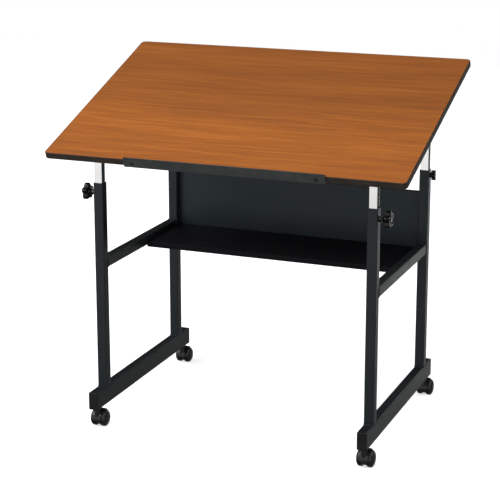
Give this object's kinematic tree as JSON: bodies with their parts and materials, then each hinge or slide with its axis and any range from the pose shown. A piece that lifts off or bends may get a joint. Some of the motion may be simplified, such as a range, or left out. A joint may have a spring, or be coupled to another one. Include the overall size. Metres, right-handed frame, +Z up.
{
  "type": "drafting table",
  "caption": "Tilting wood-grain drawing board on a black tube frame with telescopic posts with clamping knobs, a steel shelf with a back panel, and swivel casters.",
  "frame": {"origin": "on the floor, at the centre of the footprint with the board at its resting tilt", "axes": "+Z up, +X to the right of the person at the table, +Y away from that person"},
  "size_m": [0.914, 0.6182, 0.9149],
  "materials": {
    "wood_laminate": "satin cherry wood-grain laminate",
    "particle_board": "raw particle board with a brown backing sheet",
    "edge_band": "satin black moulding",
    "ledge_grey": "satin charcoal",
    "black_paint": "semi-gloss black powder coat",
    "sheet_paint": "satin black powder coat",
    "bracket_paint": "satin black paint",
    "black_plastic": "moulded black plastic",
    "knob_plastic": "moulded black plastic",
    "caster_plastic": "satin black nylon",
    "wheel_plastic": "satin black nylon",
    "chrome": "bright plated",
    "zinc_steel": "zinc plated",
    "dark_screw": "black oxide"
  },
  "bodies": {
    "frame": {"outer_post_front_left": "black_paint", "outer_post_rear_left": "black_paint", "outer_post_front_right": "black_paint", "outer_post_rear_right": "black_paint", "foot_rail_left": "black_paint", "foot_rail_right": "black_paint", "mid_rail_left": "black_paint", "mid_rail_right": "black_paint", "foot_rail_caps": "black_plastic", "post_bushings": "black_plastic", "knob_weld_nuts": "dark_screw", "caster_sockets": "black_plastic", "caster_stems": "zinc_steel", "shelf": "sheet_paint", "back_panel": "sheet_paint", "shelf_panel_screws": "dark_screw"},
    "front_posts": {"inner_post_front_left": "chrome", "inner_post_front_right": "chrome", "front_post_glides": "black_plastic", "front_pivot_bolts": "zinc_steel", "front_pivot_nuts": "zinc_steel"},
    "board": {"board_core": "particle_board", "board_laminate": "wood_laminate", "board_edge_band": "edge_band", "pencil_ledge": "ledge_grey", "ledge_screws": "dark_screw", "bracket_screws": "zinc_steel", "front_bracket_left": "bracket_paint", "front_bracket_right": "bracket_paint", "rear_bracket_left": "bracket_paint", "rear_bracket_right": "bracket_paint"},
    "rear_posts": {"inner_post_rear_left": "chrome", "inner_post_rear_right": "chrome", "rear_post_glides": "black_plastic", "rear_pivot_bolts": "zinc_steel", "rear_pivot_nuts": "zinc_steel"},
    "knob_front_left": {"knob_front_left": "knob_plastic", "knob_stud_front_left": "dark_screw"},
    "caster_front_left": {"caster_hood_front_left": "caster_plastic", "caster_axle_front_left": "zinc_steel"},
    "caster_front_left_wheel_left": {"caster_front_left_wheel_left": "wheel_plastic"},
    "caster_front_left_wheel_right": {"caster_front_left_wheel_right": "wheel_plastic"},
    "knob_rear_left": {"knob_rear_left": "knob_plastic", "knob_stud_rear_left": "dark_screw"},
    "caster_rear_left": {"caster_hood_rear_left": "caster_plastic", "caster_axle_rear_left": "zinc_steel"},
    "caster_rear_left_wheel_left": {"caster_rear_left_wheel_left": "wheel_plastic"},
    "caster_rear_left_wheel_right": {"caster_rear_left_wheel_right": "wheel_plastic"},
    "knob_front_right": {"knob_front_right": "knob_plastic", "knob_stud_front_right": "dark_screw"},
    "caster_front_right": {"caster_hood_front_right": "caster_plastic", "caster_axle_front_right": "zinc_steel"},
    "caster_front_right_wheel_left": {"caster_front_right_wheel_left": "wheel_plastic"},
    "caster_front_right_wheel_right": {"caster_front_right_wheel_right": "wheel_plastic"},
    "knob_rear_right": {"knob_rear_right": "knob_plastic", "knob_stud_rear_right": "dark_screw"},
    "caster_rear_right": {"caster_hood_rear_right": "caster_plastic", "caster_axle_rear_right": "zinc_steel"},
    "caster_rear_right_wheel_left": {"caster_rear_right_wheel_left": "wheel_plastic"},
    "caster_rear_right_wheel_right": {"caster_rear_right_wheel_right": "wheel_plastic"}
  },
  "joints": [
    {"name": "height_slide", "type": "slide", "parent": "frame", "child": "front_posts", "axis": [0, 0, 1], "range_m": [-0.06, 0.14]},
    {"name": "board_tilt", "type": "hinge", "parent": "front_posts", "child": "board", "pos_m": [0, -0.20844, 0.7141], "axis": [1, 0, 0], "range_deg": [-19.6, 5.4]},
    {"name": "rear_post_slide", "type": "slide", "parent": "front_posts", "child": "rear_posts", "axis": [0, 0, 1], "range_m": [-0.162, 0.0455]},
    {"name": "knob_front_left_turn", "type": "hinge", "parent": "frame", "child": "knob_front_left", "pos_m": [-0.382, -0.20844, 0.6037], "axis": [-1, 0, 0], "range_deg": [0, 540]},
    {"name": "caster_front_left_swivel", "type": "hinge", "parent": "frame", "child": "caster_front_left", "pos_m": [-0.354, -0.24994, 0.0535], "axis": [0, 0, 1], "continuous": true},
    {"name": "caster_front_left_roll_left", "type": "hinge", "parent": "caster_front_left", "child": "caster_front_left_wheel_left", "pos_m": [-0.365, -0.23494, 0.021], "axis": [1, 0, 0], "continuous": true},
    {"name": "caster_front_left_roll_right", "type": "hinge", "parent": "caster_front_left", "child": "caster_front_left_wheel_right", "pos_m": [-0.343, -0.23494, 0.021], "axis": [1, 0, 0], "continuous": true},
    {"name": "knob_rear_left_turn", "type": "hinge", "parent": "frame", "child": "knob_rear_left", "pos_m": [-0.3702, 0.23156, 0.6157], "axis": [-1, 0, 0], "range_deg": [0, 540]},
    {"name": "caster_rear_left_swivel", "type": "hinge", "parent": "frame", "child": "caster_rear_left", "pos_m": [-0.354, 0.27306, 0.0535], "axis": [0, 0, 1], "continuous": true},
    {"name": "caster_rear_left_roll_left", "type": "hinge", "parent": "caster_rear_left", "child": "caster_rear_left_wheel_left", "pos_m": [-0.365, 0.28806, 0.021], "axis": [1, 0, 0], "continuous": true},
    {"name": "caster_rear_left_roll_right", "type": "hinge", "parent": "caster_rear_left", "child": "caster_rear_left_wheel_right", "pos_m": [-0.343, 0.28806, 0.021], "axis": [1, 0, 0], "continuous": true},
    {"name": "knob_front_right_turn", "type": "hinge", "parent": "frame", "child": "knob_front_right", "pos_m": [0.382, -0.20844, 0.6037], "axis": [1, 0, 0], "range_deg": [0, 540]},
    {"name": "caster_front_right_swivel", "type": "hinge", "parent": "frame", "child": "caster_front_right", "pos_m": [0.354, -0.24994, 0.0535], "axis": [0, 0, 1], "continuous": true},
    {"name": "caster_front_right_roll_left", "type": "hinge", "parent": "caster_front_right", "child": "caster_front_right_wheel_left", "pos_m": [0.343, -0.23494, 0.021], "axis": [1, 0, 0], "continuous": true},
    {"name": "caster_front_right_roll_right", "type": "hinge", "parent": "caster_front_right", "child": "caster_front_right_wheel_right", "pos_m": [0.365, -0.23494, 0.021], "axis": [1, 0, 0], "continuous": true},
    {"name": "knob_rear_right_turn", "type": "hinge", "parent": "frame", "child": "knob_rear_right", "pos_m": [0.3702, 0.23156, 0.6157], "axis": [1, 0, 0], "range_deg": [0, 540]},
    {"name": "caster_rear_right_swivel", "type": "hinge", "parent": "frame", "child": "caster_rear_right", "pos_m": [0.354, 0.27306, 0.0535], "axis": [0, 0, 1], "continuous": true},
    {"name": "caster_rear_right_roll_left", "type": "hinge", "parent": "caster_rear_right", "child": "caster_rear_right_wheel_left", "pos_m": [0.343, 0.28806, 0.021], "axis": [1, 0, 0], "continuous": true},
    {"name": "caster_rear_right_roll_right", "type": "hinge", "parent": "caster_rear_right", "child": "caster_rear_right_wheel_right", "pos_m": [0.365, 0.28806, 0.021], "axis": [1, 0, 0], "continuous": true}
  ],
  "couplings": [
    {"joint": "rear_post_slide", "follows": "board_tilt", "m_per_rad": 0.47}
  ]
}
